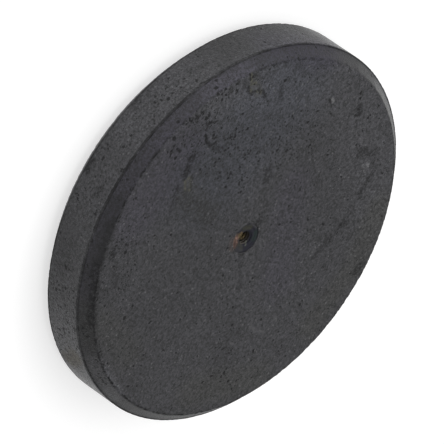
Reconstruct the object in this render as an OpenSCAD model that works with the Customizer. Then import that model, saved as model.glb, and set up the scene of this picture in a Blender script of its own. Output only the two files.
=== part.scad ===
// Disc magnet: a pressed and sintered ferrite disc, chamfered round both faces,
// with a small brass bush bonded into its centre hole. The bush is tapped M2.
//
// Frame: the origin is the centre of the underside, and +Z is the disc's axis.
// The thread itself is a fine detail of the finish: the bush is bored to the
// thread's core, so the bore is the wall that a screw's crests clear.

/* [Disc] */
// Outside diameter of the disc, mm
disc_diameter = 50; // [30:0.5:80]
// Thickness between the two flat faces, mm
disc_thickness = 8; // [6:0.25:16]
// Width of each rim chamfer, across the face, mm
chamfer_width = 1.4; // [0.4:0.1:3]
// Height of each rim chamfer, along the axis, mm
chamfer_height = 1.3; // [0.4:0.1:2.8]

/* [Bush] */
// Outside diameter of the bush, mm
bush_diameter = 3.9; // [3.5:0.1:8]
// Core diameter of the thread, which is the bore of the bush, mm
thread_core = 1.6; // [1.2:0.05:2]
// Diameter of the countersink at each end of the bush, mm
lead_in_diameter = 2.1; // [2.05:0.05:3.3]
// Depth of the countersink at each end of the bush, mm
lead_in_depth = 0.2; // [0.1:0.05:1]
// Depth of each end of the bush below the disc's face, mm
bush_recess = 0.1; // [0.05:0.05:1]
// Thickness of the adhesive film between bush and disc, mm
bond_film = 0.05; // [0.02:0.01:0.15]

/* [Hidden] */

$fn = 180;

FERRITE = [0.26, 0.26, 0.27];
BRASS = [0.72, 0.55, 0.28];

disc_radius = disc_diameter / 2;
face_radius = disc_radius - chamfer_width;

bush_radius = bush_diameter / 2;
hole_radius = bush_radius + bond_film;
core_radius = thread_core / 2;
lead_in_radius = lead_in_diameter / 2;

bush_bottom = bush_recess;
bush_top = disc_thickness - bush_recess;

// Right-hand half of the disc's section, turned about the axis.
module disc_section() {
    polygon([
        [hole_radius, 0],
        [face_radius, 0],
        [disc_radius, chamfer_height],
        [disc_radius, disc_thickness - chamfer_height],
        [face_radius, disc_thickness],
        [hole_radius, disc_thickness]
    ]);
}

// Right-hand half of the bush's section: a plain sleeve, countersunk at both ends.
module bush_section() {
    polygon([
        [lead_in_radius, bush_bottom],
        [bush_radius, bush_bottom],
        [bush_radius, bush_top],
        [lead_in_radius, bush_top],
        [core_radius, bush_top - lead_in_depth],
        [core_radius, bush_bottom + lead_in_depth]
    ]);
}

module magnet_disc() {
    color(FERRITE)
        rotate_extrude()
            disc_section();
}

module threaded_bush() {
    color(BRASS)
        rotate_extrude()
            bush_section();
}

magnet_disc();
threaded_bush();
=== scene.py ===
import math

import bmesh
import bpy
from bpy.props import FloatProperty, FloatVectorProperty, PointerProperty
from mathutils import Matrix, Vector


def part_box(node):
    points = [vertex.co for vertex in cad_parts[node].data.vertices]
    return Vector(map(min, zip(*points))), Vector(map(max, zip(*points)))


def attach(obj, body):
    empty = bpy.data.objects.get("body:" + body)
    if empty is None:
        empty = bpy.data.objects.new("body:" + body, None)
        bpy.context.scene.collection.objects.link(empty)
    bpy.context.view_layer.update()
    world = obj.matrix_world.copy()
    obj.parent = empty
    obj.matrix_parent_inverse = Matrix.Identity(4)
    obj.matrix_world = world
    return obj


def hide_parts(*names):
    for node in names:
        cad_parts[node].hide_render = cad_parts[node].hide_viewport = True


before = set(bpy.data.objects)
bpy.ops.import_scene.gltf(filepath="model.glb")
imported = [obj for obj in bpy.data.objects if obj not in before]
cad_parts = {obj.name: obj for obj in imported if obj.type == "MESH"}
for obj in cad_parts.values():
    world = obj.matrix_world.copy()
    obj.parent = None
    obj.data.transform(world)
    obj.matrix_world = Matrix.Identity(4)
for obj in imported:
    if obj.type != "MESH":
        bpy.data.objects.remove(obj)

# Disc magnet: a pressed and sintered ferrite disc with a small threaded brass
# bush bonded into its centre hole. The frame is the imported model's: metres,
# the origin at the centre of the underside, and +Z along the disc's axis.

bl_info = {
    "name": "Disc magnet",
    "version": (1, 0, 0),
    "blender": (4, 5, 0),
    "location": "3D View > Sidebar > Disc magnet",
    "description": "A sintered ferrite disc magnet with a threaded brass bush, on a plain pale floor",
    "category": "Object",
}

MM = 0.001
MERGE_DISTANCE = 0.001 * MM      # vertices closer than this are joined
RING_VERTICES = 96               # in the first ring of each turned piece
WHITE = (1, 1, 1, 1)
DISC_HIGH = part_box("magnet_disc")[1]
BUSH_LOW, BUSH_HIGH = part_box("threaded_bush")
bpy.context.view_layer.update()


# ---------------- settings

class DiscSettings(bpy.types.PropertyGroup):
    """Sizes and finish of the ferrite disc"""

    radius: FloatProperty(
        name="Radius", description="Outside radius of the disc", default=DISC_HIGH.x, unit="LENGTH")
    thickness: FloatProperty(
        name="Thickness", description="Height from the underside to the upper face",
        default=DISC_HIGH.z, unit="LENGTH")
    chamfer_width: FloatProperty(
        name="Chamfer width", description="Width of the rim chamfers, across the face",
        default=1.4 * MM, unit="LENGTH")
    chamfer_height: FloatProperty(
        name="Chamfer height", description="Height of the rim chamfers, along the axis",
        default=1.3 * MM, unit="LENGTH")
    hole_radius: FloatProperty(
        name="Hole radius",
        description="Radius of the centre hole, less the film of adhesive that fills it up to the bush",
        default=BUSH_HIGH.x + 0.005 * MM, unit="LENGTH")
    edge_rounding: FloatProperty(
        name="Edge rounding", description="How far each edge is worn back", default=0.08 * MM, unit="LENGTH")
    punch_land: FloatProperty(
        name="Punch land", description="Width of the narrow flat that the press leaves at the foot of each chamfer",
        default=0.14 * MM, unit="LENGTH")
    chip_depth: FloatProperty(
        name="Chip depth", description="Depth of the deepest chips along the edges",
        default=0.16 * MM, unit="LENGTH")
    waviness: FloatProperty(
        name="Waviness", description="How far the skin dips below true", default=0.015 * MM, unit="LENGTH")
    body_colour: FloatVectorProperty(
        name="Body", description="Colour of the fired ferrite", default=(0.036, 0.036, 0.0396), subtype="COLOR")
    # This colour also gives the painted shade on the near chamfer and the near wall.
    dirt_and_shade_colour: FloatVectorProperty(
        name="Dirt and shade", description="Colour in the pits, along the edges and in the dark marks",
        default=(0.006, 0.006, 0.0065), subtype="COLOR")
    stain_colour: FloatVectorProperty(
        name="Stain", description="Colour of the few greenish brown stains, where they are palest",
        default=(0.102, 0.1, 0.077), subtype="COLOR")
    # This colour also gives the painted glints and, dimmed, the painted highlight along the chamfer's edge.
    speck_and_highlight_colour: FloatVectorProperty(
        name="Specks", description="Colour of the pale specks", default=(0.16, 0.16, 0.165), subtype="COLOR")


class BushSettings(bpy.types.PropertyGroup):
    """Sizes and finish of the brass bush"""

    radius: FloatProperty(
        name="Radius", description="Outside radius of the bush", default=BUSH_HIGH.x, unit="LENGTH")
    core_radius: FloatProperty(
        name="Core radius", description="Radius at the crests of the thread", default=0.8 * MM, unit="LENGTH")
    pitch: FloatProperty(
        name="Pitch", description="Distance between neighbouring turns of the thread",
        default=0.4 * MM, unit="LENGTH")
    lead_in_radius: FloatProperty(
        name="Countersink radius", description="Radius of the countersink at each end",
        default=1.05 * MM, unit="LENGTH")
    lead_in_depth: FloatProperty(
        name="Countersink depth", description="Depth of the countersink at each end",
        default=0.2 * MM, unit="LENGTH")
    groove_radius: FloatProperty(
        name="Groove radius", description="Radius of the turned groove round each end",
        default=1.42 * MM, unit="LENGTH")
    groove_depth: FloatProperty(
        name="Groove depth", description="Depth of the turned groove round each end",
        default=0.05 * MM, unit="LENGTH")
    brass_colour: FloatVectorProperty(
        name="Brass", description="Colour of the clean brass in the thread",
        default=(0.52, 0.4, 0.2), subtype="COLOR")
    worn_colour: FloatVectorProperty(
        name="Worn brass", description="Colour of the dulled brass round the end",
        default=(0.12, 0.088, 0.045), subtype="COLOR")
    # Made nearly twice as bright, this colour gives the painted highlights on the ring.
    copper_colour: FloatVectorProperty(
        name="Reddened brass", description="Colour of the brass where it has gone coppery",
        default=(0.14, 0.088, 0.072), subtype="COLOR")
    # This colour also serves as painted shade on the far side of the ring.
    tarnish_and_shade_colour: FloatVectorProperty(
        name="Tarnish and shade", description="Colour of the tarnish and grime",
        default=(0.0055, 0.0055, 0.013), subtype="COLOR")


class StageSettings(bpy.types.PropertyGroup):
    """Floor, light and camera"""

    elevation: FloatProperty(
        name="Elevation", description="Height of the camera above the horizon",
        default=math.radians(36.926), subtype="ANGLE")
    roll: FloatProperty(
        name="Roll", description="Turn of the camera about its line of sight",
        default=math.radians(34.721), subtype="ANGLE")
    distance: FloatProperty(
        name="Distance", description="Distance of the camera from the axis, at the foot of the upper chamfer",
        default=1.012, unit="LENGTH")
    lens: FloatProperty(
        name="Lens", description="Focal length of the camera", default=695.3, unit="CAMERA")
    offset_right: FloatProperty(
        name="Offset right", description="How far the disc's axis stands right of the middle of the view",
        default=1.99 * MM, unit="LENGTH")
    offset_down: FloatProperty(
        name="Offset down", description="How far the disc's axis stands below the middle of the view",
        default=1.347 * MM, unit="LENGTH")
    floor_colour: FloatVectorProperty(
        name="Floor", description="Colour of the floor", default=(0.5, 0.5, 0.5), subtype="COLOR")
    floor_glow: FloatProperty(
        name="Floor glow", description="What brings the lit floor up to white for the camera", default=0.62)
    light: FloatProperty(
        name="Light", description="Strength of the soft light from all round", default=1.1)


# ---------------- mesh helpers

def deselect_all():
    """Leaves edit mode and deselects everything, ready for the next primitive."""
    if bpy.context.object and bpy.context.object.mode != "OBJECT":
        bpy.ops.object.mode_set(mode="OBJECT")
    bpy.ops.object.select_all(action="DESELECT")


def start_ring(radius, z):
    """Starts a turned piece from one ring, in edit mode."""
    deselect_all()
    bpy.ops.mesh.primitive_circle_add(vertices=RING_VERTICES, radius=radius, location=(0, 0, z), enter_editmode=True)
    bpy.context.tool_settings.mesh_select_mode = (False, True, False)


def name_piece(name):
    """Leaves edit mode, and names the piece and its mesh."""
    bpy.ops.object.mode_set(mode="OBJECT")
    piece = bpy.context.object
    piece.name = piece.data.name = name
    return piece


def pick_edges(test):
    """In edit mode, selects the edges whose two ends pass the test, and nothing else."""
    edited = bmesh.from_edit_mesh(bpy.context.edit_object.data)
    bpy.context.tool_settings.mesh_select_mode = (False, True, False)
    edited.select_mode = {"EDGE"}
    for group in (edited.verts, edited.edges, edited.faces):
        for part in group:
            part.select = False
    for edge in edited.edges:
        edge.select = all(test(vertex.co) for vertex in edge.verts)
    edited.select_flush_mode()
    bmesh.update_edit_mesh(bpy.context.edit_object.data)


def round_ring(r, z, offset, slack):
    """Rounds the edited piece's turned edge at (r, z)."""
    pick_edges(lambda p: abs(p.xy.length - r) < slack and abs(p.z - z) < slack)
    bpy.ops.mesh.bevel(offset=offset, segments=3, profile=0.5, affect="EDGES")


def grow_ring(step, scale):
    """Extrudes the selected ring upwards by step and scales it about the axis."""
    bpy.ops.mesh.extrude_edges_move(TRANSFORM_OT_translate={"value": (0, 0, step)})
    if scale != 1.0:
        bpy.ops.transform.resize(value=(scale, scale, 1.0), center_override=(0, 0, 0))


def follow(section, r, z):
    """Grows the selected ring, now at (r, z), through the other points of a turned section."""
    for next_r, next_z in section:
        grow_ring(next_z - z, next_r / r)
        r, z = next_r, next_z
    return r, z


def steps(start, end, size):
    """Even steps from start, left out, to end."""
    count = max(1, round(abs(end - start) / size))
    return [start + (end - start) * i / count for i in range(1, count + 1)]


def double_ring(count):
    """Puts a vertex halfway along each of the ring's count edges, and rounds the ring to its old radius."""
    bpy.ops.mesh.subdivide(number_cuts=1)
    bpy.ops.transform.tosphere(value=1.0)
    back = 2.0 / (1.0 + math.cos(math.pi / count))
    bpy.ops.transform.resize(value=(back, back, 1.0), center_override=(0, 0, 0))


def apply_modifiers(piece):
    for modifier in list(piece.modifiers):
        bpy.ops.object.modifier_apply(modifier=modifier.name)


def turn_outwards():
    """Merges the active piece's doubles and turns its faces outwards."""
    bpy.ops.object.mode_set(mode="EDIT")
    bpy.ops.mesh.select_all(action="SELECT")
    bpy.ops.mesh.remove_doubles(threshold=MERGE_DISTANCE)
    bpy.ops.mesh.normals_make_consistent(inside=False)
    bpy.ops.mesh.select_all(action="DESELECT")
    bpy.ops.object.mode_set(mode="OBJECT")


def finish_mesh(sharp_degrees):
    """Merges doubles, turns the faces outwards and shades the piece smooth up to an angle."""
    turn_outwards()
    bpy.ops.object.shade_smooth_by_angle(angle=math.radians(sharp_degrees))


def weigh(piece, name, test_weight):
    """A vertex group whose weights come from each vertex's place."""
    group = piece.vertex_groups.new(name=name)
    for vertex in piece.data.vertices:
        weight = test_weight(vertex.co)
        if weight > 0.0:
            group.add([vertex.index], weight, "REPLACE")
    return group


def dent(piece, name, depth, size, contrast, brightness, weights):
    """Sinks the skin inwards, by a cloudy pattern, where the vertex group has weight."""
    pattern = bpy.data.textures.new(name, "CLOUDS")
    pattern.noise_scale, pattern.noise_depth = size, 2
    pattern.contrast, pattern.intensity, pattern.use_clamp = contrast, brightness, True
    sink = piece.modifiers.new(name, "DISPLACE")
    sink.texture, sink.texture_coords, sink.vertex_group = pattern, "LOCAL", weights.name
    sink.strength, sink.mid_level = depth, 1.0


def wear_down(piece, settings):
    """Chips and wears the disc's edges, and leaves the rest of its skin very slightly uneven."""
    radius, thickness, hole = settings.radius, settings.thickness, settings.hole_radius
    face, foot = radius - settings.chamfer_width, settings.chamfer_height
    chip_reach, plain_ring = 0.4 * MM, 0.3 * MM

    def near(p, edge_r, edge_z):
        """1 on the turned edge or its mirror image, and 0 out of the chips' reach."""
        low = min(p.z, thickness - p.z)
        return max(0.0, 1.0 - math.hypot(p.xy.length - edge_r, low - edge_z) / chip_reach)

    chipped = weigh(piece, "chipped edges", lambda p: max(
        near(p, face, 0.0), near(p, hole, 0.0) * 0.5, near(p, radius, foot) * 0.3))
    skin = weigh(piece, "skin", lambda p: 1.0 if p.xy.length > hole + plain_ring else 0.0)
    dent(piece, "Chips", settings.chip_depth, 0.45 * MM, 3.2, 1.55, chipped)
    dent(piece, "Nicks", settings.chip_depth * 0.5, 0.2 * MM, 2.2, 1.35, chipped)
    dent(piece, "Waves", settings.waviness, 1.6 * MM, 1.0, 1.0, skin)
    apply_modifiers(piece)


# ---------------- node helpers

class Tree:
    """Adds and joins nodes in a material's or a group's tree."""

    def __init__(self, tree):
        self.tree, self.count = tree, 0

    def add(self, kind, inputs=(), **settings):
        """A new node, laid out in rows of twelve, with its settings and then its inputs."""
        made = self.tree.nodes.new(kind)
        made.location = (self.count % 12 * 190, -(self.count // 12) * 260)
        self.count += 1
        for key, value in settings.items():
            setattr(made, key, value)
        for key, value in dict(inputs).items():
            self.feed(made.inputs[key], value)
        return made

    def feed(self, socket, value):
        """Links a socket to another node's output, or gives it a value."""
        if isinstance(value, bpy.types.NodeSocket):
            self.tree.links.new(value, socket)
        elif value is not None:
            socket.default_value = value

    def maths(self, operation, *values):
        return self.add("ShaderNodeMath", dict(enumerate(values)), operation=operation).outputs[0]

    def chain(self, operation, first, *others):
        for other in others:
            first = self.maths(operation, first, other)
        return first

    def times(self, *values):
        return self.chain("MULTIPLY", *values)

    def plus(self, *values):
        return self.chain("ADD", *values)

    def most(self, *values):
        return self.chain("MAXIMUM", *values)

    def less(self, first, second):
        return self.maths("SUBTRACT", first, second)

    def rest(self, value):
        """What is left of 1."""
        return self.less(1.0, value)

    def vector(self, operation, *values):
        made = self.add("ShaderNodeVectorMath", dict(enumerate(values)), operation=operation)
        return made.outputs["Value" if operation in ("LENGTH", "DOT_PRODUCT") else "Vector"]

    def scale(self, vector, gain):
        return self.vector("SCALE", vector, None, None, gain)

    def ramp(self, value, low, high, to_low=0.0, to_high=1.0, smooth=True):
        """Maps low..high to to_low..to_high, held at both ends."""
        made = self.add(
            "ShaderNodeMapRange",
            {"Value": value, "From Min": low, "From Max": high, "To Min": to_low, "To Max": to_high},
            interpolation_type="SMOOTHSTEP" if smooth else "LINEAR")
        return made.outputs["Result"]

    def spread(self, mask, low, high):
        """Maps a mask's 0..1 evenly to low..high."""
        return self.ramp(mask, 0.0, 1.0, low, high, smooth=False)

    def mix(self, factor, first, second, blend="MIX"):
        made = self.add(
            "ShaderNodeMix", {0: factor, 6: first, 7: second},
            data_type="RGBA", blend_type=blend, clamp_factor=True)
        return made.outputs[2]

    def grey(self, level):
        return self.add("ShaderNodeCombineColor", {"Red": level, "Green": level, "Blue": level}).outputs[0]

    def split(self, vector):
        return self.add("ShaderNodeSeparateXYZ", {"Vector": vector}).outputs

    def noise(self, vector, scale, detail=2.0, roughness=0.5, distortion=0.0, output="Fac"):
        made = self.add("ShaderNodeTexNoise", {
            "Vector": vector, "Scale": scale, "Detail": detail, "Roughness": roughness, "Distortion": distortion})
        return made.outputs[output]

    def wandered(self, place, wander, reach):
        """The place, shifted unevenly by up to about half the reach."""
        return self.vector("ADD", place, self.scale(self.vector("SUBTRACT", wander, (0.5, 0.5, 0.5)), reach))

    def from_axis(self, place):
        """The distance from the disc's axis."""
        return self.vector("LENGTH", self.vector("MULTIPLY", place, (1.0, 1.0, 0.0)))

    def group(self, name, inputs):
        made = self.add("ShaderNodeGroup", node_tree=bpy.data.node_groups[name])
        for key, value in inputs.items():
            self.feed(made.inputs[key], value)
        return made.outputs


def new_group(name, vectors, numbers, outputs):
    """A node group with named sockets, ready to fill: vectors in, numbers in with their defaults, and numbers out."""
    group = bpy.data.node_groups.new(name, "ShaderNodeTree")
    for key in vectors:
        group.interface.new_socket(key, in_out="INPUT", socket_type="NodeSocketVector")
    for key, default in numbers.items():
        group.interface.new_socket(key, in_out="INPUT", socket_type="NodeSocketFloat").default_value = default
    for key in outputs:
        group.interface.new_socket(key, in_out="OUTPUT", socket_type="NodeSocketFloat")
    tree = Tree(group)
    return tree, tree.add("NodeGroupInput").outputs, tree.add("NodeGroupOutput").inputs


def build_grain_group():
    """Fired powder: an even fine grain, small pits where grains are missing, and pale specks."""
    tree, given, made = new_group(
        "Sintered grain", ["Vector"], {"Grain Scale": 5.0, "Pit Scale": 1.8, "Pit Share": 0.3, "Pit Radius": 0.3},
        ["Grain", "Pits", "Specks"])
    fine = tree.noise(given["Vector"], given["Grain Scale"], 3.0, 0.75)
    tree.feed(made["Grain"], tree.ramp(fine, 0.35, 0.65, smooth=False))
    bend = tree.noise(given["Vector"], 3.0, 1.0, output="Color")
    bent = tree.vector("ADD", given["Vector"], tree.scale(bend, 0.25))
    cells = tree.add("ShaderNodeTexVoronoi", {"Vector": bent, "Scale": given["Pit Scale"], "Randomness": 1.0})
    lot = tree.add("ShaderNodeSeparateColor", {"Color": cells.outputs["Color"]}).outputs
    chosen = tree.maths("LESS_THAN", lot["Red"], given["Pit Share"])
    size = tree.times(given["Pit Radius"], tree.spread(tree.times(lot["Green"], lot["Green"]), 0.4, 1.0))
    ragged = tree.plus(cells.outputs["Distance"], tree.times(tree.less(fine, 0.5), 0.7))
    depth = tree.ramp(tree.maths("DIVIDE", ragged, size), 0.65, 1.0, 1.0, 0.0)
    tree.feed(made["Pits"], tree.times(chosen, depth))
    bright = tree.maths("GREATER_THAN", lot["Blue"], 0.86)
    tree.feed(made["Specks"], tree.times(bright, tree.ramp(cells.outputs["Distance"], 0.12, 0.28, 1.0, 0.0)))


def build_smudge_group():
    """Soft cloudy patches, for handling marks, grime and tarnish."""
    tree, given, made = new_group("Smudges", ["Vector"], {"Scale": 0.15, "Cover": 0.5, "Softness": 0.15}, ["Mask"])
    cloud = tree.noise(given["Vector"], given["Scale"], 4.0, 0.6, 0.4)
    edge = tree.rest(given["Cover"])
    soft = given["Softness"]
    tree.feed(made["Mask"], tree.ramp(cloud, tree.less(edge, soft), tree.plus(edge, soft)))


def build_stroke_group():
    """One mark: a spot, or a stroke from one place to another, that fades at its edge."""
    tree, given, made = new_group("Stroke", ["Vector", "From", "To"], {"Width": 0.3}, ["Mask"])
    reach = tree.vector("SUBTRACT", given["Vector"], given["From"])
    run = tree.vector("SUBTRACT", given["To"], given["From"])
    share = tree.maths("DIVIDE", tree.vector("DOT_PRODUCT", reach, run), tree.vector("DOT_PRODUCT", run, run))
    share = tree.maths("MINIMUM", tree.maths("MAXIMUM", share, 0.0), 1.0)
    away = tree.vector("LENGTH", tree.vector("SUBTRACT", reach, tree.scale(run, share)))
    tree.feed(made["Mask"], tree.ramp(tree.maths("DIVIDE", away, given["Width"]), 0.2, 1.0, 1.0, 0.0))


def build_edge_group():
    """A line round a turned edge, at a given radius and height."""
    tree, given, made = new_group(
        "Edge line", ["Vector"], {"Edge Radius": 20.0, "Edge Height": 5.0, "Width": 0.15, "Ragged": 0.1}, ["Mask"])
    across = tree.less(tree.from_axis(given["Vector"]), given["Edge Radius"])
    along = tree.less(tree.split(given["Vector"])["Z"], given["Edge Height"])
    away = tree.maths("SQRT", tree.plus(tree.times(across, across), tree.times(along, along)))
    nibble = tree.times(tree.less(tree.noise(given["Vector"], 2.6, 3.0, 0.65), 0.5), given["Ragged"])
    core = tree.times(given["Width"], 0.4)
    tree.feed(made["Mask"], tree.ramp(tree.plus(away, nibble), core, given["Width"], 1.0, 0.0))


def build_groups():
    """Builds the shared effects once."""
    if "Stroke" not in bpy.data.node_groups:
        build_grain_group()
        build_smudge_group()
        build_stroke_group()
        build_edge_group()


def empty_tree(owner):
    """Gives a material or a world an empty tree of nodes."""
    owner.use_nodes = True
    owner.node_tree.nodes.clear()
    return Tree(owner.node_tree)


def new_material(name):
    """A material, its tree, and the place on the piece in millimetres."""
    build_groups()
    material = bpy.data.materials.new(name)
    tree = empty_tree(material)
    return material, tree, tree.scale(tree.add("ShaderNodeTexCoord").outputs["Object"], 1000.0)


def add_skin(tree, inputs, relief, bump_strength, bump_depth, specular):
    """The material's shader, with its bump, joined to the output."""
    bump = tree.add("ShaderNodeBump", {"Height": relief, "Strength": bump_strength, "Distance": bump_depth})
    shader = tree.add("ShaderNodeBsdfPrincipled", {**inputs, "Normal": bump.outputs[0]})
    shader.inputs["Specular IOR Level"].default_value = specular
    tree.add("ShaderNodeOutputMaterial", {"Surface": shader.outputs[0]})


def colour(values, gain=1.0):
    return (values[0] * gain, values[1] * gain, values[2] * gain, 1.0)


# ---------------- marks

# A mark is (from, to, width, strength): two places, and the width over which it fades, all in millimetres.

def round_the_disc(angle, height, radius=25.0):
    """A place round the disc, from its angle in degrees, its height, and its radius, which is the wall's own."""
    turned = math.radians(angle)
    return (radius * math.cos(turned), radius * math.sin(turned), height)


def on_face(z, *marks):
    """Marks on the face at height z: each is (x, y, x, y, width, strength)."""
    return [((x0, y0, z), (x1, y1, z), width, strength) for x0, y0, x1, y1, width, strength in marks]


def on_wall(*marks):
    """Marks on the wall: each is (angle, height, angle, height, width, strength)."""
    return [(round_the_disc(angle0, z0), round_the_disc(angle1, z1), width, strength)
            for angle0, z0, angle1, z1, width, strength in marks]


def round_rim(radius, z, *marks):
    """Marks round the rim at one radius and height: each is (angle, angle, width, strength)."""
    return [(round_the_disc(angle0, z, radius), round_the_disc(angle1, z, radius), width, strength)
            for angle0, angle1, width, strength in marks]


def strokes(tree, place, marks):
    """The strongest of the given marks at each point."""
    masks = []
    for start, end, width, strength in marks:
        if end[0] == start[0]:
            end = (end[0] + 0.01, *end[1:])    # a stroke has to run some way
        mask = tree.group("Stroke", {"Vector": place, "From": start, "To": end, "Width": width})["Mask"]
        masks.append(tree.times(mask, strength))
    return tree.most(*masks)


def ferrite_marks(tree, place, thickness, far_edge):
    """The masks of the ferrite's own marks, and of its painted light and shade, as {name: mask}."""
    chamfer = thickness - 0.6
    wander = tree.noise(place, 1.4, 3.0, 0.65, output="Color")
    shaky, steady = tree.wandered(place, wander, 1.7), tree.wandered(place, wander, 0.6)

    def face(*marks):
        return on_face(thickness, *marks)

    marks = {}
    # Where the powder packed less well, there are more pits, and in a few spots bigger ones.
    marks["loose"] = place, face(
        (-14, -2.5, -7.5, -9, 4.5, 1), (-7.5, -9, -7, -18, 6, 1),
        (9, 7, 15, 10, 3.5, 0.35), (9, -19, 14, -15, 3.5, 0.9),
        (-18.5, 3, -19.5, 6, 2.5, 0.6),
    ) + on_wall((316, 3.5, 342, 3.5, 4, 1), (244, 5, 286, 3.5, 3.5, 0.7))
    marks["coarse"] = place, face(
        (-16.4, -17, -14.6, -13.4, 2.6, 0.6), (-13, -18.8, -4, -22.4, 2.8, 1),
    ) + on_wall((310, 5.2, 328, 3.6, 3, 0.4))
    marks["rough rim"] = place, round_rim(24.2, chamfer, (303, 322, 1.8, 1), (322, 345, 1.8, 1))
    # Dark smudges, streaks and spots of dirt, and painted shade: the broad stroke on the wall at 300 to 306 degrees
    # and the two strokes on the inner half of the near chamfer.
    marks["smudges"] = shaky, face(
        (-4, -17.6, -2.2, -16.9, 0.9, 0.95), (-0.6, -16.7, 3.8, -14.4, 0.5, 0.6),
        (-14.4, -18.6, -13.4, -18.9, 0.7, 0.35), (-17.1, -11.5, -15.7, -9.8, 0.6, 0.6),
        (-8.2, -4.1, -7.2, -3.2, 1.1, 0.65), (-16.2, 8.7, -16.9, 11.4, 1.1, 0.65),
        (-16.5, 12, -15.4, 12.9, 0.8, 0.4), (-14.7, 13.3, -11.9, 13.5, 0.75, 0.7),
        (-8.6, 14.4, -2.9, 13.1, 0.85, 0.5), (-20.4, 3.5, -19.9, 4.2, 0.95, 0.8),
        (-19, 4.7, -18.5, 5.1, 0.5, 0.5), (-20.9, 7.4, -20.6, 7.7, 0.4, 0.8),
        (-20.9, 2, -20.7, 2.3, 0.4, 0.6), (-19, -1.9, -18.6, -1.2, 0.6, 0.8),
        (-5.2, 21.9, -4.1, 22, 1.1, 0.7), (1.5, 0.3, 5.4, 4.8, 0.6, 0.45),
        (-2.7, 0.2, -2.2, 0.2, 0.8, 0.7), (1.6, 1.15, 1.7, 1.2, 0.4, 0.9),
        (8, 7, 12.6, 9, 2.4, 0.15), (0.4, -8.4, 0.4, -14.6, 2.6, 0.42),
        (12, -17.3, 13.4, -15.6, 0.9, 0.4), (10.2, -19.7, 10.8, -19.3, 0.8, 0.8),
        (-12.6, 5.6, -12.3, 6.2, 0.5, 0.6),
    ) + on_wall(
        (277, 1.9, 279, 1.9, 0.7, 0.9), (255, 1.5, 258, 1.5, 0.6, 0.8), (281, 4.8, 283, 4.8, 0.6, 0.8),
        (236, 4.4, 241, 3.6, 0.6, 0.5), (300, 3.6, 306, 3, 2.4, 0.3),
    ) + round_rim(23.9, thickness - 0.3, (288, 304, 0.9, 0.8), (304, 322, 0.9, 0.8))
    # Thin dark scratches, and the dirt round the stains.
    marks["scratches"] = steady, face(
        (-15.9, -17.3, -15.5, -16.9, 0.32, 0.9), (-16.3, -17, -16.2, -16.3, 0.35, 0.6),
        (-14.6, -16.4, -14.2, -15.8, 0.4, 0.8), (-14.2, -15.8, -14.2, -15, 0.36, 0.8),
        (-14.5, -15.2, -14.7, -14.8, 0.35, 0.8), (-15.2, -14.6, -14.9, -14, 0.32, 0.8),
        (-15.4, -13.8, -14.8, -12.7, 0.35, 0.8), (-14.9, -17.5, -14.4, -17, 0.55, 0.4),
        (-1.9, -16.4, -1.6, -16.4, 0.35, 0.7), (-2.3, -15.6, -2, -15.1, 0.3, 0.6),
        (-1.7, -14.9, -0.9, -14.1, 0.3, 0.5), (-8.7, -19.4, -7.8, -18.2, 0.25, 0.6),
        (-7.2, -17.9, -6.6, -17, 0.38, 1), (-6.6, -17, -6.5, -16, 0.36, 0.9),
        (-6.5, -16, -7.1, -15.5, 0.36, 0.9), (-6.5, -15.2, -6.8, -14.3, 0.65, 0.5),
        (-7.3, -13.9, -7.2, -13.9, 0.55, 0.5), (-7, -22.7, -6.8, -22.6, 0.35, 1),
        (-8.4, -21.2, -8.3, -21, 0.35, 0.9), (-9.4, -19.5, -9.3, -19.4, 0.3, 0.9),
        (-8.5, -18.6, -8.8, -18.4, 0.35, 1), (-4, -20.8, -3.9, -20.2, 0.35, 1),
        (-4.1, -11.3, -4.3, -10.9, 0.25, 0.6),
    )
    # Stains: greenish brown on the face, as a thin wash with palest streaks in it, and beige on the wall.
    marks["stains"] = steady, face(
        (-15.9, -16.7, -14.8, -14.2, 1.1, 0.25), (-16.1, -17.2, -15.4, -16.5, 0.32, 1),
        (-14.9, -16.2, -15.6, -15.7, 0.34, 1), (-14.5, -15.7, -14.5, -15.5, 0.34, 1),
        (-14.9, -14.7, -14.7, -14.4, 0.28, 0.9), (-15.2, -14.1, -14.9, -13.7, 0.28, 0.9),
        (-1.9, -15.7, -1.1, -14.7, 0.8, 0.3), (-1.5, -16.1, -0.6, -15.2, 0.32, 0.9),
        (-1.9, -15.3, -1.3, -14.7, 0.25, 0.7), (-2.1, -15.8, -1.8, -15.9, 0.28, 0.9),
        (-0.9, -14.7, -0.8, -14.4, 0.28, 0.9), (0, -8.5, 0, -14, 2.4, 0.14),
    )
    marks["beige"] = shaky, on_wall((336, 5, 341, 3, 2, 1))
    # Bright marks: a painted highlight along the chamfer's edge and small painted glints; and the stretches where the
    # dark line round the face's edge is left out.
    marks["bared"] = place, round_rim(
        far_edge + 0.7, chamfer, (178, 168, 1.7, 0.3), (168, 156, 1.7, 0.8), (156, 148, 1.7, 0.5))
    marks["glints"] = shaky, face(
        (-15.6, 11.3, -15.4, 11.6, 0.4, 0.8), (-15.2, 10.8, -15.1, 10.9, 0.3, 0.6),
        (-19.4, -1.5, -19.2, -1.2, 0.36, 0.8), (-18.5, -1.6, -18.4, -1.3, 0.26, 0.6),
        (-7.3, -16.7, -7.2, -16.6, 0.3, 0.4), (8.2, 10.7, 8.5, 11.8, 0.5, 0.22),
        (8.2, 12.4, 8, 13.2, 0.45, 0.25), (5.8, 13.8, 5.9, 14.1, 0.35, 0.3),
        (11.1, 9.2, 11.2, 9.6, 0.35, 0.25),
    )
    marks["worn line"] = place, round_rim(
        23.7, thickness, (226, 241, 1.3, 0.8), (241, 260, 1.3, 0.8), (196, 224, 1.3, 0.45),
        (192, 170, 2, 0.9), (170, 148, 2, 0.9))
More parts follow.
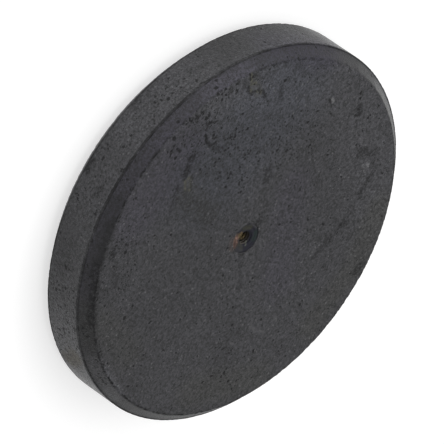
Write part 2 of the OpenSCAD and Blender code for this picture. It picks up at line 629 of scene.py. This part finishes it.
    # Painted light and painted shade: broad parts a little paler, and others a little darker, than the rest, as the
    # light falls; the paler stretch of the chamfer at 226 to 243 degrees is also wear.
    marks["rubbed"] = place, on_wall(
        (238, 4, 262, 4, 5, 0.16), (326, 4, 346, 4, 5, 0.12),
    ) + round_rim(
        24.3, chamfer, (214, 226, 1.7, 0.08), (226, 243, 1.7, 0.46), (243, 262, 1.7, 0.14), (336, 354, 1.7, 0.5),
    ) + face(
        (-20, 4, -14, 17, 7, 0.12), (-14, -6.5, -6, -6, 5, 0.08),
        (-21, -3, -16, -15, 7, 0.14), (-17.5, -13.5, -12, -19, 5, 0.22),
    )
    marks["shaded"] = place, face(
        (5, -6, 17, -9, 10, 0.13), (0, -9, 0, -16, 6, 0.09),
        (20.5, -3, 20.5, 3, 5, 0.06),
    ) + on_wall(
        (200, 3.5, 226, 3.5, 7, 0.75), (300, 3, 320, 3, 6, 0.3),
    ) + round_rim(
        24.3, chamfer, (282, 304, 1.6, 0.62), (304, 330, 1.6, 0.5),
    ) + round_rim(23.9, thickness - 0.2, (284, 303, 0.9, 0.6), (303, 322, 0.9, 0.6))
    # Where each faint cast of colour shows.
    marks["bluish"] = shaky, face((-16, -10, -4, -12, 11, 1))
    marks["violet"] = shaky, face(
        (5, -20, -4, -20, 6, 0.55), (2, 10, -8, 2, 4.5, 0.45),
    ) + on_wall((196, 7, 214, 5, 4, 0.9))
    marks["sallow"] = shaky, face(
        (17.8, -14, 19, -6, 3.5, 0.8), (18.6, 8.5, 13, 17.5, 3.8, 1),
        (4, 20.5, -5, 21, 3.4, 1), (-5, 21, -12, 18.5, 3.6, 1),
    )
    marks["coppery"] = place, face((1.1, -1.9, 1.9, -1.2, 0.8, 1))
    return {name: strokes(tree, where, listed) for name, (where, listed) in marks.items()}


# ---------------- materials

def pressed_edges(tree, place, settings):
    """The dark line along the foot of each chamfer, at the press mark, and the dark nicks round the faces."""
    radius, thickness = settings.radius / MM, settings.thickness / MM
    wide, high, line = settings.chamfer_width / MM, settings.chamfer_height / MM, settings.punch_land / MM
    patchy = tree.ramp(tree.noise(place, 0.3, 3.0, 0.7), 0.4, 0.6, 0.45, 0.9)
    nicked = tree.ramp(tree.noise(place, 0.9, 3.0, 0.7), 0.42, 0.62, 0.25, 1.0)
    lines = []
    for edge_r, edge_z, width, ragged, shown in (
        (radius - line * 0.3, thickness - high - line * 0.7, 0.25, 0.25, patchy),
        (radius - wide, thickness, 0.2, 0.45, nicked),
        (radius - line * 0.3, high + line * 0.7, 0.25, 0.25, patchy),
        (radius - wide, 0.0, 0.2, 0.45, nicked),
    ):
        worn = tree.group("Edge line", {
            "Vector": place, "Edge Radius": edge_r, "Edge Height": edge_z, "Width": width, "Ragged": ragged})["Mask"]
        lines.append(tree.times(worn, shown))
    return tree.most(*lines)


def ferrite_material(settings):
    """Fired ferrite: grain, pits and pale specks, darkened hollows, its own marks, faint casts of colour, and painted
    light, shade and highlights.
    """
    material, tree, place = new_material("Fired ferrite")
    radius, thickness = settings.radius / MM, settings.thickness / MM
    far_edge = radius - settings.chamfer_width / MM
    axis, reach = tree.split(place), tree.from_axis(place)
    wall = tree.ramp(reach, radius - 0.16, radius - 0.06)
    chamfer = tree.times(tree.ramp(reach, far_edge - 0.05, far_edge + 0.1), tree.rest(wall))
    marks = ferrite_marks(tree, place, thickness, far_edge)
    # Most marks are broken up: a share of each is left, from the faintest to the whole.
    faintest = 0.15
    broken = tree.ramp(tree.noise(place, 2.4, 5.0, 0.9), 0.4, 0.54, faintest, 1.0)

    def unevenly(low, high):
        return tree.ramp(broken, faintest, 1.0, low, high, smooth=False)

    # The grain and its pits. The chamfer was pressed smooth, but for its rough stretch.
    pressed_smooth = tree.times(chamfer, tree.rest(marks["rough rim"]))
    loose = tree.most(marks["loose"], marks["coarse"], tree.times(marks["rough rim"], 0.6))
    clumps = tree.ramp(tree.noise(place, 0.5, 2.0, 0.6), 0.42, 0.6, 0.2, 1.3)
    packing = tree.times(loose, clumps, tree.rest(tree.times(pressed_smooth, 0.9)))
    share = tree.plus(0.07, tree.times(packing, 0.75))
    grain = tree.group("Sintered grain", {
        "Vector": place, "Grain Scale": 3.2, "Pit Scale": 1.7, "Pit Share": share,
        "Pit Radius": tree.ramp(marks["coarse"], 0.0, 1.0, 0.47, 0.66)})
    fine = tree.group("Sintered grain", {
        "Vector": place, "Grain Scale": 8.0, "Pit Scale": 2.9, "Pit Share": share, "Pit Radius": 0.5})
    pits = tree.times(tree.most(grain["Pits"], fine["Pits"]), 0.88)
    specks = tree.times(tree.most(grain["Specks"], fine["Specks"]), tree.rest(chamfer))
    cloud = tree.group("Smudges", {"Vector": place, "Scale": 0.09, "Cover": 0.5, "Softness": 0.25})["Mask"]

    # Dark lines along the edges, dark marks with painted shade among them, the painted edge highlight, pale specks
    # with painted glints, and the violet cast of the near chamfer.
    edges = pressed_edges(tree, place, settings)
    dark = tree.most(tree.times(marks["smudges"], broken), tree.times(marks["scratches"], unevenly(0.6, 1.0)))
    bared = tree.times(marks["bared"], chamfer)
    glint = tree.most(tree.times(specks, 0.55), marks["glints"])
    tinged = tree.times(chamfer, tree.ramp(axis["Y"], -2.0, -9.0), tree.ramp(axis["X"], 17.5, 15.5))

    # The colour: shades and casts of the ferrite's own with broad painted light and painted shade, then stains, the
    # painted edge highlight, specks and glints, and the darkened places on it.
    gain = tree.times(
        tree.spread(grain["Grain"], 0.2, 1.93), tree.spread(fine["Grain"], 0.6, 1.4), tree.spread(cloud, 0.94, 1.06),
        # broad painted light, partly wear, and broad painted shade
        tree.less(tree.plus(1.0, tree.times(marks["rubbed"], 2.0)), tree.times(marks["shaded"], 0.7)),
        tree.spread(chamfer, 1.0, 0.45))
    base = tree.mix(1.0, colour(settings.body_colour), tree.grey(gain), "MULTIPLY")
    for mask, cast in (
        (marks["bluish"], (0.955, 1.0, 1.09)), (marks["violet"], (1.03, 0.95, 1.18)), (tinged, (1.03, 0.97, 1.18)),
        (marks["sallow"], (1.02, 1.02, 0.93)), (marks["coppery"], (1.2, 0.95, 0.82)),
    ):
        base = tree.mix(mask, base, colour(cast), "MULTIPLY")
    stain, speck_and_highlight = settings.stain_colour, settings.speck_and_highlight_colour
    pale_beige, dark_beige = colour((0.105, 0.092, 0.062)), colour((0.034, 0.029, 0.021))
    base = tree.mix(marks["stains"], base, tree.mix(broken, colour(stain), colour(stain, 0.5)))
    base = tree.mix(tree.times(marks["beige"], unevenly(0.5, 1.0)), base, tree.mix(broken, pale_beige, dark_beige))
    # The painted highlight along the chamfer's edge.
    base = tree.mix(tree.times(bared, broken), base, colour(speck_and_highlight, 0.42))
    # Pale specks of the grain, and the painted glints.
    base = tree.mix(glint, base, colour(speck_and_highlight))
    # Pits, edge lines and dark marks take the dark colour; the dark marks hold the painted shade on the near chamfer
    # and wall.
    dirt_and_shade = tree.most(pits, tree.times(edges, tree.rest(marks["worn line"])), dark)
    base = tree.mix(dirt_and_shade, base, colour(settings.dirt_and_shade_colour))

    # The roughness: the pressed rim, the ends of the wall and the painted edge highlight are smoother, and the
    # darkened places and stains are duller.
    roughness = tree.plus(0.6, tree.times(tree.less(0.5, grain["Grain"]), tree.spread(wall, -0.08, 0.12)))
    roughness = tree.less(roughness, tree.times(tree.most(chamfer, wall), 0.13))
    polished = tree.times(wall, tree.ramp(tree.maths("ABSOLUTE", axis["X"]), radius - 1.2, radius - 0.1))
    roughness = tree.less(roughness, tree.times(tree.most(polished, bared), 0.14))
    roughness = tree.plus(roughness, tree.times(tree.most(dirt_and_shade, tree.times(marks["beige"], 0.3)), 0.35))
    roughness = tree.plus(roughness, tree.times(marks["rough rim"], unevenly(-0.12, 0.16)))

    relief = tree.plus(tree.times(grain["Grain"], 0.7), tree.times(fine["Grain"], 0.35))
    relief = tree.times(relief, tree.rest(tree.times(pressed_smooth, 0.45)))
    relief = tree.less(relief, tree.times(tree.most(pits, edges), 1.3))
    add_skin(
        tree, {"Base Color": base, "Roughness": roughness}, relief,
        bump_strength=0.9, bump_depth=0.09 * MM, specular=0.4)
    return material


def brass_material(settings, ferrite_colour):
    """Old brass: clean in the thread, worn and painted brighter on the near side of the ring, reddened at its rim
    with painted highlights, a painted glint at the mouth of the thread, and tarnished elsewhere, which on the far
    side also stands in as painted shade.
    """
    material, tree, place = new_material("Tarnished brass, painted light and shade")
    high = BUSH_HIGH.z / MM
    grain = tree.group("Sintered grain", {
        "Vector": place, "Grain Scale": 7.0, "Pit Scale": 4.5, "Pit Share": 0.3, "Pit Radius": 0.36})
    cloud = tree.group("Smudges", {"Vector": place, "Scale": 1.1, "Cover": 0.5, "Softness": 0.2})["Mask"]
    shaky = tree.wandered(place, tree.noise(place, 2.5, 3.0, 0.6, output="Color"), 0.5)

    def ring_marks(*marks):
        return strokes(tree, shaky, on_face(high, *marks))

    # Worn brass painted brighter on the near side of the ring, reddened brass with painted highlights, clean brass in
    # the thread, and a painted glint at the mouth of the thread.
    worn_and_lit = ring_marks((0.0, -1.1, 0.35, -1.2, 0.6, 1.0))
    reddened = ring_marks((0.6, -1.7, 1.5, -0.9, 0.75, 1.0))
    bright = ring_marks((0.5, -1.62, 0.7, -1.4, 0.26, 1.0), (0.8, -1.25, 1.0, -1.0, 0.3, 0.8))
    threads = strokes(tree, shaky, [((0.0, 0.8, high - 1.3), (0.3, 0.75, high - 2.3), 0.7, 1.0)])
    glint = strokes(tree, place, [((0.2, 0.78, high - 0.3), (0.75, 0.8, high), 0.15, 1.0)])
    # Other tints of tarnish, and smears of dust from the disc.
    greenish = ring_marks((-1.3, 1.0, -0.5, 1.4, 0.6, 1.0))
    olive = ring_marks((-1.4, -0.4, -0.9, -1.3, 0.6, 0.9), (1.0, -0.3, 1.3, 0.5, 0.5, 0.8))
    smeared = ring_marks(
        (-1.95, -0.9, -1.85, 0.5, 0.4, 0.9), (-1.2, -1.75, -0.4, -2.0, 0.5, 0.9),
        (1.9, -0.6, 1.9, 0.3, 0.3, 0.8), (1.5, -0.4, 1.6, 0.5, 0.7, 0.45))
    inside = tree.times(
        tree.ramp(tree.from_axis(place), 1.1, 1.0), tree.ramp(tree.split(place)["Z"], high - 0.18, high - 0.3))

    mottle = tree.ramp(tree.noise(place, 4.0, 3.0, 0.8), 0.38, 0.62, 0.45, 1.55, smooth=False)
    # The worn, reddened, clean and highlit spots; the rest of the brass is tarnished, and the far side of the ring,
    # left dark, is painted shade as well.
    clean_and_lit = tree.most(worn_and_lit, reddened, threads, bright)
    tarnished_and_shaded = tree.rest(tree.times(clean_and_lit, tree.spread(cloud, 1.0, 0.7)))
    tarnished_and_shaded = tree.most(tarnished_and_shaded, tree.times(grain["Pits"], 0.8))
    base = tree.mix(threads, colour(settings.worn_colour), colour(settings.brass_colour))
    base = tree.mix(reddened, base, colour(settings.copper_colour))
    base = tree.mix(bright, base, colour(settings.copper_colour, 1.9))
    base = tree.mix(1.0, base, tree.grey(mottle), "MULTIPLY")
    # The tarnish, which on the far side of the ring also serves as painted shade.
    tarnish_and_shade = tree.mix(grain["Grain"], colour(settings.tarnish_and_shade_colour, 0.5), colour(settings.tarnish_and_shade_colour, 1.6))
    tarnish_and_shade = tree.mix(inside, tarnish_and_shade, colour((0.062, 0.053, 0.045)))
    tarnish_and_shade = tree.mix(greenish, tarnish_and_shade, colour((0.006, 0.014, 0.014)))
    tarnish_and_shade = tree.mix(olive, tarnish_and_shade, colour((0.026, 0.026, 0.018)))
    base = tree.mix(tarnished_and_shaded, base, tarnish_and_shade)
    # A painted glint on the far lip of the countersink.
    base = tree.mix(glint, base, colour((0.07, 0.075, 0.062)))
    base = tree.mix(smeared, base, colour(ferrite_colour))

    metallic = tree.rest(tree.times(tree.most(tarnished_and_shaded, smeared), 0.92))
    roughness = tree.plus(0.38, tree.times(tarnished_and_shaded, 0.22))
    relief = tree.less(tree.times(grain["Grain"], 0.8), grain["Pits"])
    add_skin(
        tree, {"Base Color": base, "Metallic": metallic, "Roughness": roughness}, relief,
        bump_strength=0.6, bump_depth=0.03 * MM, specular=0.3)
    return material


def floor_material(settings):
    """A matt floor that the camera and reflections see as white, and that keeps the magnet's shadow."""
    material = bpy.data.materials.new("Pale floor")
    tree = empty_tree(material)
    seen = tree.add("ShaderNodeLightPath").outputs
    shown = tree.most(seen["Is Camera Ray"], seen["Is Glossy Ray"], seen["Is Transmission Ray"])
    matt = tree.add("ShaderNodeBsdfDiffuse", {"Color": colour(settings.floor_colour)})
    glow = tree.add("ShaderNodeEmission", {"Color": WHITE, "Strength": tree.times(shown, settings.floor_glow)})
    both = tree.add("ShaderNodeAddShader", {0: matt.outputs[0], 1: glow.outputs[0]})
    tree.add("ShaderNodeOutputMaterial", {"Surface": both.outputs[0]})
    return material


# ---------------- operators

class DISCMAGNET_OT_disc(bpy.types.Operator):
    """Turn the ferrite disc: bore, face, chamfer and wall, ring by ring, then mirror it"""

    bl_idname = "disc_magnet.build_disc"
    bl_label = "Ferrite disc"

    def execute(self, context):
        settings = context.scene.disc_magnet_disc
        radius, thickness, hole = settings.radius, settings.thickness, settings.hole_radius
        face, middle = radius - settings.chamfer_width, thickness / 2
        land, foot = radius - settings.punch_land, middle - settings.chamfer_height

        # The upper half's section, from the middle of the hole to the middle of the wall. The rings
        # are closest where an edge is chipped, and have more vertices as they grow.
        bore_step, face_step, rim_step, edge_step, chip_step = (
            size * MM for size in (0.25, 0.27, 0.24, 0.15, 0.12))
        mouth, rim, brink = 0.48 * MM, 0.45 * MM, 0.36 * MM
        start_ring(hole, middle)
        r, z = follow([(hole, z) for z in steps(0.0, middle, bore_step)], hole, 0.0)
        r, z = follow([(x, middle) for x in steps(r, r + mouth, chip_step)], r, z)
        for doubling, doubled_at in enumerate((8.0 * MM, 16.0 * MM, 21.6 * MM)):
            r, z = follow([(x, middle) for x in steps(r, doubled_at, face_step)], r, z)
            double_ring(RING_VERTICES * 2 ** doubling)
        across = steps(r, face - rim, rim_step) + steps(face - rim, face, edge_step)
        r, z = follow([(x, middle) for x in across], r, z)
        slope = [ninth / 9 for ninth in (0.5, 1, 2, 3, 4, 5, 6, 7, 8, 8.5, 9)]
        down = [(face + (land - face) * share, middle + (foot - middle) * share) for share in slope]
        r, z = follow(down + [(radius, foot)], r, z)
        wall = steps(foot, foot - brink, chip_step) + steps(foot - brink, 0.0, rim_step)
        follow([(radius, z) for z in wall], r, z)

        rounding = settings.edge_rounding
        for edge_r, edge_z, share in ((hole, middle, 1.0), (face, middle, 1.0), (radius, foot, 0.6)):
            round_ring(edge_r, edge_z, rounding * share, slack=0.01 * MM)
        bpy.ops.mesh.select_all(action="DESELECT")
        piece = name_piece("ferrite_disc")
        mirror = piece.modifiers.new("Other half", "MIRROR")
        mirror.use_axis = (False, False, True)
        mirror.merge_threshold = MERGE_DISTANCE
        apply_modifiers(piece)
        bpy.ops.object.transform_apply(location=True, rotation=True, scale=True)
        turn_outwards()
        wear_down(piece, settings)
        finish_mesh(sharp_degrees=50)
        piece.data.materials.append(ferrite_material(settings))
        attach(piece, "root")
        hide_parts("magnet_disc")
        return {"FINISHED"}


def make_tap(context, core, pitch, low, high):
    """One closed section of the thread's groove, wound up the bore and past both its ends."""
    inwards, depth = 0.1 * MM, 0.54 * pitch
    root_share, flank_share = 0.0625, 0.3125     # of the pitch, each side of the groove's middle
    half_out = pitch * root_share
    half_in = pitch * (root_share + flank_share + inwards / depth * flank_share)
    spare_turns = 2
    deselect_all()
    bpy.ops.mesh.primitive_plane_add(size=1.0, location=(0, 0, 0), enter_editmode=True)
    edited = bmesh.from_edit_mesh(context.edit_object.data)
    inner, outer = core - inwards, core + depth
    corners = [(inner, -half_in), (outer, -half_out), (outer, half_out), (inner, half_in)]
    order = sorted(edited.verts, key=lambda v: math.atan2(v.co.y, v.co.x))
    for vertex, (x, z) in zip(order, corners):
        vertex.co = (x, 0.0, z + low - spare_turns * pitch)
    bmesh.update_edit_mesh(context.edit_object.data)
    bpy.ops.object.mode_set(mode="OBJECT")
    tap = context.object
    wind = tap.modifiers.new("Wind", "SCREW")
    wind.axis, wind.angle, wind.steps, wind.render_steps = "Z", 2 * math.pi, 40, 40
    wind.screw_offset, wind.iterations = pitch, math.ceil((high - low) / pitch) + 2 * spare_turns
    wind.use_merge_vertices = False
    apply_modifiers(tap)
    turn_outwards()
    return tap


class DISCMAGNET_OT_bush(bpy.types.Operator):
    """Turn the brass bush, and cut its thread"""

    bl_idname = "disc_magnet.build_bush"
    bl_label = "Threaded bush"

    def execute(self, context):
        settings = context.scene.disc_magnet_bush
        low, high = BUSH_LOW.z, BUSH_HIGH.z
        outside, core = settings.radius, settings.core_radius
        lead, sink = settings.lead_in_radius, settings.lead_in_depth
        groove, cut_in, half_cut = settings.groove_radius, settings.groove_depth, 0.12 * MM
        start_ring(outside, low)
        section = [
            (outside, high), (groove + half_cut, high), (groove, high - cut_in), (groove - half_cut, high),
            (lead, high), (core, high - sink)]
        section += [(r, low + high - z) for r, z in reversed(section)]
        follow([(r, z - low) for r, z in section], outside, 0.0)
        bpy.ops.mesh.select_all(action="SELECT")
        bpy.ops.mesh.remove_doubles(threshold=MERGE_DISTANCE)
        for edge_r in (outside, lead):
            for edge_z in (high, low):
                round_ring(edge_r, edge_z - low, 0.05 * MM, slack=0.005 * MM)
        bpy.ops.mesh.select_all(action="SELECT")
        bpy.ops.mesh.normals_make_consistent(inside=False)
        bush = name_piece("brass_bush")
        bpy.ops.object.transform_apply(location=True, rotation=True, scale=True)

        tap = make_tap(context, core, settings.pitch, low, high)
        bpy.ops.object.select_all(action="DESELECT")
        context.view_layer.objects.active = bush
        bush.select_set(True)
        cut = bush.modifiers.new("Thread", "BOOLEAN")
        cut.operation, cut.solver, cut.object = "DIFFERENCE", "EXACT", tap
        apply_modifiers(bush)
        bpy.data.objects.remove(tap)
        finish_mesh(sharp_degrees=35)
        bush.data.materials.append(brass_material(settings, context.scene.disc_magnet_disc.body_colour))
        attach(bush, "root")
        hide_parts("threaded_bush")
        return {"FINISHED"}


def lay_floor(context, settings):
    """A plain matt floor, far wider than the view."""
    deselect_all()
    bpy.ops.mesh.primitive_plane_add(size=6.0, location=(0, 0, 0))
    floor = context.object
    floor.name = floor.data.name = "floor"
    floor.data.materials.append(floor_material(settings))


def set_light(context, settings):
    """Soft light from all round, over a background that the camera sees as white."""
    world = bpy.data.worlds.new("Soft studio")
    context.scene.world = world
    tree = empty_tree(world)
    # A smooth field of light: its level, the way it leans, and how it bends along and between the axes.
    level, lean = 1.159, (0.163, -0.723, -1.677)
    bend, twist = (0.299, -0.299, 1.689), (0.308, 1.254, -1.506)
    dimmest = 0.1
    sky = tree.add("ShaderNodeTexCoord").outputs["Generated"]
    parts = tree.split(sky)
    turned = tree.add("ShaderNodeCombineXYZ", {"X": parts["Y"], "Y": parts["Z"], "Z": parts["X"]}).outputs[0]
    soft = tree.plus(level, tree.vector("DOT_PRODUCT", sky, lean))
    soft = tree.plus(soft, tree.vector("DOT_PRODUCT", tree.vector("MULTIPLY", sky, sky), bend))
    soft = tree.plus(soft, tree.vector("DOT_PRODUCT", tree.vector("MULTIPLY", sky, turned), twist))
    soft = tree.times(tree.most(soft, dimmest), settings.light)
    seen = tree.add("ShaderNodeLightPath").outputs
    around = tree.add("ShaderNodeBackground", {"Color": WHITE, "Strength": soft})
    white = tree.add("ShaderNodeBackground", {"Color": WHITE, "Strength": 1.0})
    both = tree.add("ShaderNodeMixShader", {0: seen["Is Camera Ray"], 1: around.outputs[0], 2: white.outputs[0]})
    tree.add("ShaderNodeOutputWorld", {"Surface": both.outputs[0]})


def set_camera(context, settings, aim):
    """A long lens that looks down at the disc, rolled about its line of sight."""
    lift, roll = settings.elevation, settings.roll
    towards = Vector((0, -math.cos(lift), math.sin(lift)))
    across, upright = Vector((1, 0, 0)), Vector((0, math.sin(lift), math.cos(lift)))
    right = upright * math.cos(roll) - across * math.sin(roll)
    down = upright * math.sin(roll) + across * math.cos(roll)
    place = aim + towards * settings.distance - right * settings.offset_right - down * settings.offset_down
    bpy.ops.object.camera_add(location=place)
    camera = context.object
    camera.name = camera.data.name = "camera"
    camera.rotation_mode = "QUATERNION"
    camera.rotation_quaternion = Matrix([right, -down, towards]).transposed().to_quaternion()
    camera.data.lens, camera.data.sensor_width = settings.lens, 36.0
    camera.data.clip_start, camera.data.clip_end = 0.05, 20.0
    context.scene.camera = camera


class DISCMAGNET_OT_stage(bpy.types.Operator):
    """Lay the floor, and set the light and the camera"""

    bl_idname = "disc_magnet.build_stage"
    bl_label = "Stage"

    def execute(self, context):
        settings, disc = context.scene.disc_magnet_stage, context.scene.disc_magnet_disc
        lay_floor(context, settings)
        set_light(context, settings)
        set_camera(context, settings, Vector((0, 0, disc.thickness - disc.chamfer_height)))
        context.scene.view_settings.view_transform = "Standard"
        return {"FINISHED"}


class DISCMAGNET_PT_panel(bpy.types.Panel):
    """Lists the magnet's build steps"""

    bl_label = "Disc magnet"
    bl_idname = "DISCMAGNET_PT_panel"
    bl_space_type = "VIEW_3D"
    bl_region_type = "UI"
    bl_category = "Disc magnet"

    def draw(self, context):
        scene = context.scene
        for operator, settings in (
            (DISCMAGNET_OT_disc, scene.disc_magnet_disc),
            (DISCMAGNET_OT_bush, scene.disc_magnet_bush),
            (DISCMAGNET_OT_stage, scene.disc_magnet_stage),
        ):
            box = self.layout.box()
            box.operator(operator.bl_idname)
            for name in settings.bl_rna.properties.keys():
                if name not in ("rna_type", "name"):
                    box.prop(settings, name)


CLASSES = (
    DiscSettings, BushSettings, StageSettings,
    DISCMAGNET_OT_disc, DISCMAGNET_OT_bush, DISCMAGNET_OT_stage, DISCMAGNET_PT_panel,
)


def register():
    for each in CLASSES:
        bpy.utils.register_class(each)
    bpy.types.Scene.disc_magnet_disc = PointerProperty(type=DiscSettings)
    bpy.types.Scene.disc_magnet_bush = PointerProperty(type=BushSettings)
    bpy.types.Scene.disc_magnet_stage = PointerProperty(type=StageSettings)


def unregister():
    del bpy.types.Scene.disc_magnet_stage, bpy.types.Scene.disc_magnet_bush, bpy.types.Scene.disc_magnet_disc
    for each in reversed(CLASSES):
        bpy.utils.unregister_class(each)


def main():
    register()
    bpy.ops.disc_magnet.build_disc()
    bpy.ops.disc_magnet.build_bush()
    bpy.ops.disc_magnet.build_stage()


if __name__ == "__main__":
    main()
